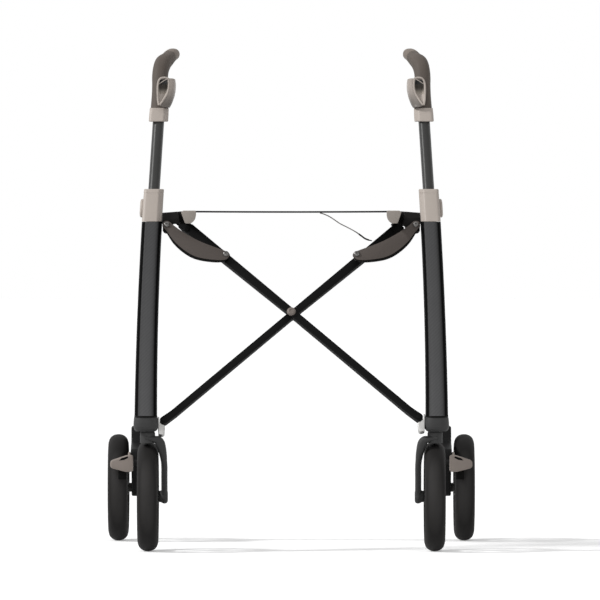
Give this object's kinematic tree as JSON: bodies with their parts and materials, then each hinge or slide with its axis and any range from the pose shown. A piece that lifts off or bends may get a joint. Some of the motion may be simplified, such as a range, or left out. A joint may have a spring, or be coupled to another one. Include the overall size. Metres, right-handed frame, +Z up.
{
  "type": "carbon rollator",
  "caption": "Folding four-wheeled walking frame with curved carbon legs, telescopic handle posts, a cross frame, a sling seat, caster forks and hand brakes",
  "frame": {"origin": "on the floor, in the middle of the four wheels", "axes": "+Z up, -Y towards the front, +X towards the right as seen from the front"},
  "size_m": [0.6512, 0.6512, 0.8755],
  "materials": {
    "carbon": "clear-coated carbon fibre",
    "black_nylon": "satin black nylon",
    "bar_black": "black anodised aluminium",
    "beige": "satin beige moulding",
    "taupe": "matt taupe powder coat",
    "grip": "soft taupe grip",
    "tyre": "dark solid rubber",
    "rim": "satin black nylon",
    "steel": "bright steel",
    "post": "dark anodised aluminium",
    "cloth": "black woven webbing"
  },
  "bodies": {
    "left_frame": {"left_front_leg": "carbon", "left_rear_leg": "carbon", "left_leg_sleeve": "beige", "left_seat_bracket": "black_nylon", "left_hinge_bracket": "steel", "left_caster_head": "black_nylon", "left_rear_housing": "carbon", "left_rear_axle": "steel", "left_link_screw": "steel"},
    "left_post": {"left_handle_post": "post", "left_post_collar": "beige", "left_hand_grip": "grip"},
    "left_lever": {"left_brake_lever": "beige"},
    "left_button": {"left_height_button": "beige"},
    "left_caster": {"left_caster_fork": "black_nylon", "left_front_axle": "steel"},
    "left_front_wheel": {"left_front_tyre": "tyre", "left_front_rim": "rim"},
    "left_rear_wheel": {"left_rear_tyre": "tyre", "left_rear_rim": "rim"},
    "left_brake": {"left_brake_arm": "beige", "left_brake_shoe": "black_nylon"},
    "left_link": {"left_link_plate": "taupe"},
    "left_rail": {"left_seat_rail": "carbon", "left_rail_cap": "beige", "left_rail_bracket": "black_nylon"},
    "left_seat": {"left_seat_half": "cloth"},
    "right_frame": {"right_front_leg": "carbon", "right_rear_leg": "carbon", "right_leg_sleeve": "beige", "right_seat_bracket": "black_nylon", "right_hinge_bracket": "steel", "right_caster_head": "black_nylon", "right_rear_housing": "carbon", "right_rear_axle": "steel", "right_link_screw": "steel"},
    "right_post": {"right_handle_post": "post", "right_post_collar": "beige", "right_hand_grip": "grip"},
    "right_lever": {"right_brake_lever": "beige"},
    "right_button": {"right_height_button": "beige"},
    "right_caster": {"right_caster_fork": "black_nylon", "right_front_axle": "steel"},
    "right_front_wheel": {"right_front_tyre": "tyre", "right_front_rim": "rim"},
    "right_rear_wheel": {"right_rear_tyre": "tyre", "right_rear_rim": "rim"},
    "right_brake": {"right_brake_arm": "beige", "right_brake_shoe": "black_nylon"},
    "right_link": {"right_link_plate": "taupe"},
    "right_rail": {"right_seat_rail": "carbon", "right_rail_cap": "beige", "right_rail_bracket": "black_nylon"},
    "right_seat": {"right_seat_half": "cloth"},
    "rear_bar": {"rear_cross_bar": "bar_black", "right_link_pin": "steel", "seat_cord": "cloth"},
    "front_bar": {"front_cross_bar": "bar_black", "left_link_pin": "steel", "centre_pivot": "beige"}
  },
  "joints": [
    {"name": "fold", "type": "hinge", "parent": "left_frame", "child": "rear_bar", "pos_m": [-0.2195, -0.262, 0.2276], "axis": [0, -0.9063, 0.4226], "range_deg": [0, 34]},
    {"name": "front_bar_turn", "type": "hinge", "parent": "rear_bar", "child": "front_bar", "pos_m": [0, -0.17694, 0.41], "axis": [0, -0.9063, 0.4226], "range_deg": [-68, 0]},
    {"name": "right_frame_turn", "type": "hinge", "parent": "front_bar", "child": "right_frame", "pos_m": [0.2195, -0.262, 0.2276], "axis": [0, -0.9063, 0.4226], "range_deg": [0, 34]},
    {"name": "left_rail_turn", "type": "hinge", "parent": "front_bar", "child": "left_rail", "pos_m": [-0.1815, -0.11166, 0.55], "axis": [0, -0.9063, 0.4226], "range_deg": [0, 34]},
    {"name": "right_rail_turn", "type": "hinge", "parent": "rear_bar", "child": "right_rail", "pos_m": [0.1815, -0.11166, 0.55], "axis": [0, -0.9063, 0.4226], "range_deg": [-34, 0]},
    {"name": "left_link_turn", "type": "hinge", "parent": "left_frame", "child": "left_link", "pos_m": [-0.2165, -0.10924, 0.5552], "axis": [0, -0.9063, 0.4226], "range_deg": [0, 102]},
    {"name": "right_link_turn", "type": "hinge", "parent": "right_frame", "child": "right_link", "pos_m": [0.2165, -0.10924, 0.5552], "axis": [0, -0.9063, 0.4226], "range_deg": [-102, 0]},
    {"name": "right_seat_turn", "type": "hinge", "parent": "rear_bar", "child": "right_seat", "pos_m": [0.18681, -0.04721, 0.6339], "axis": [-0.1954, -0.9443, -0.2647], "range_deg": [0, 44.2], "deforming": ["right_seat_half", "seat_cord"]},
    {"name": "left_seat_turn", "type": "hinge", "parent": "right_seat", "child": "left_seat", "pos_m": [0, -0.03, 0.5875], "axis": [0, 1, 0], "range_deg": [0, 145.8], "deforming": ["left_seat_half"]},
    {"name": "left_post_slide", "type": "slide", "parent": "left_frame", "child": "left_post", "axis": [0.0499, 0.4655, 0.8836], "range_m": [-0.09, 0.04]},
    {"name": "left_lever_turn", "type": "hinge", "parent": "left_post", "child": "left_lever", "pos_m": [-0.21546, -0.002, 0.778], "axis": [1, 0, 0], "range_deg": [0, 12], "stiffness_Nm_per_rad": 0.35, "springref_deg": -6.88},
    {"name": "left_button_push", "type": "slide", "parent": "left_frame", "child": "left_button", "axis": [0.9984, 0, 0.0564], "range_m": [0, 0.003], "stiffness_N_per_m": 600, "springref_m": -0.002},
    {"name": "left_caster_turn", "type": "hinge", "parent": "left_frame", "child": "left_caster", "pos_m": [-0.2472, -0.266, 0.2], "axis": [0, 0, 1], "continuous": true},
    {"name": "left_front_wheel_roll", "type": "hinge", "parent": "left_caster", "child": "left_front_wheel", "pos_m": [-0.2472, -0.231, 0.09464], "axis": [1, 0, 0], "continuous": true},
    {"name": "left_rear_wheel_roll", "type": "hinge", "parent": "left_frame", "child": "left_rear_wheel", "pos_m": [-0.3076, 0.231, 0.09464], "axis": [1, 0, 0], "continuous": true},
    {"name": "left_brake_turn", "type": "hinge", "parent": "left_frame", "child": "left_brake", "pos_m": [-0.2842, 0.138, 0.156], "axis": [1, 0, 0], "range_deg": [0, 3.4]},
    {"name": "right_post_slide", "type": "slide", "parent": "right_frame", "child": "right_post", "axis": [-0.0499, 0.4655, 0.8836], "range_m": [-0.09, 0.04]},
    {"name": "right_lever_turn", "type": "hinge", "parent": "right_post", "child": "right_lever", "pos_m": [0.21546, -0.002, 0.778], "axis": [1, 0, 0], "range_deg": [0, 12], "stiffness_Nm_per_rad": 0.35, "springref_deg": -6.88},
    {"name": "right_button_push", "type": "slide", "parent": "right_frame", "child": "right_button", "axis": [-0.9984, 0, 0.0564], "range_m": [0, 0.003], "stiffness_N_per_m": 600, "springref_m": -0.002},
    {"name": "right_caster_turn", "type": "hinge", "parent": "right_frame", "child": "right_caster", "pos_m": [0.2472, -0.266, 0.2], "axis": [0, 0, 1], "continuous": true},
    {"name": "right_front_wheel_roll", "type": "hinge", "parent": "right_caster", "child": "right_front_wheel", "pos_m": [0.2472, -0.231, 0.09464], "axis": [1, 0, 0], "continuous": true},
    {"name": "right_rear_wheel_roll", "type": "hinge", "parent": "right_frame", "child": "right_rear_wheel", "pos_m": [0.3076, 0.231, 0.09464], "axis": [1, 0, 0], "continuous": true},
    {"name": "right_brake_turn", "type": "hinge", "parent": "right_frame", "child": "right_brake", "pos_m": [0.2842, 0.138, 0.156], "axis": [1, 0, 0], "range_deg": [0, 3.4]}
  ],
  "couplings": [
    {"joint": "front_bar_turn", "follows": "fold", "ratio": -2},
    {"joint": "right_frame_turn", "follows": "fold", "ratio": 1},
    {"joint": "left_rail_turn", "follows": "fold", "ratio": 1},
    {"joint": "right_rail_turn", "follows": "fold", "ratio": -1},
    {"joint": "left_link_turn", "follows": "fold", "ratio": 3},
    {"joint": "right_link_turn", "follows": "fold", "ratio": -3},
    {"joint": "right_seat_turn", "follows": "fold", "ratio": 1.2975},
    {"joint": "left_seat_turn", "follows": "fold", "ratio": 4.2854},
    {"joint": "left_brake_turn", "follows": "left_lever_turn", "ratio": 0.28333},
    {"joint": "right_brake_turn", "follows": "right_lever_turn", "ratio": 0.28333}
  ]
}
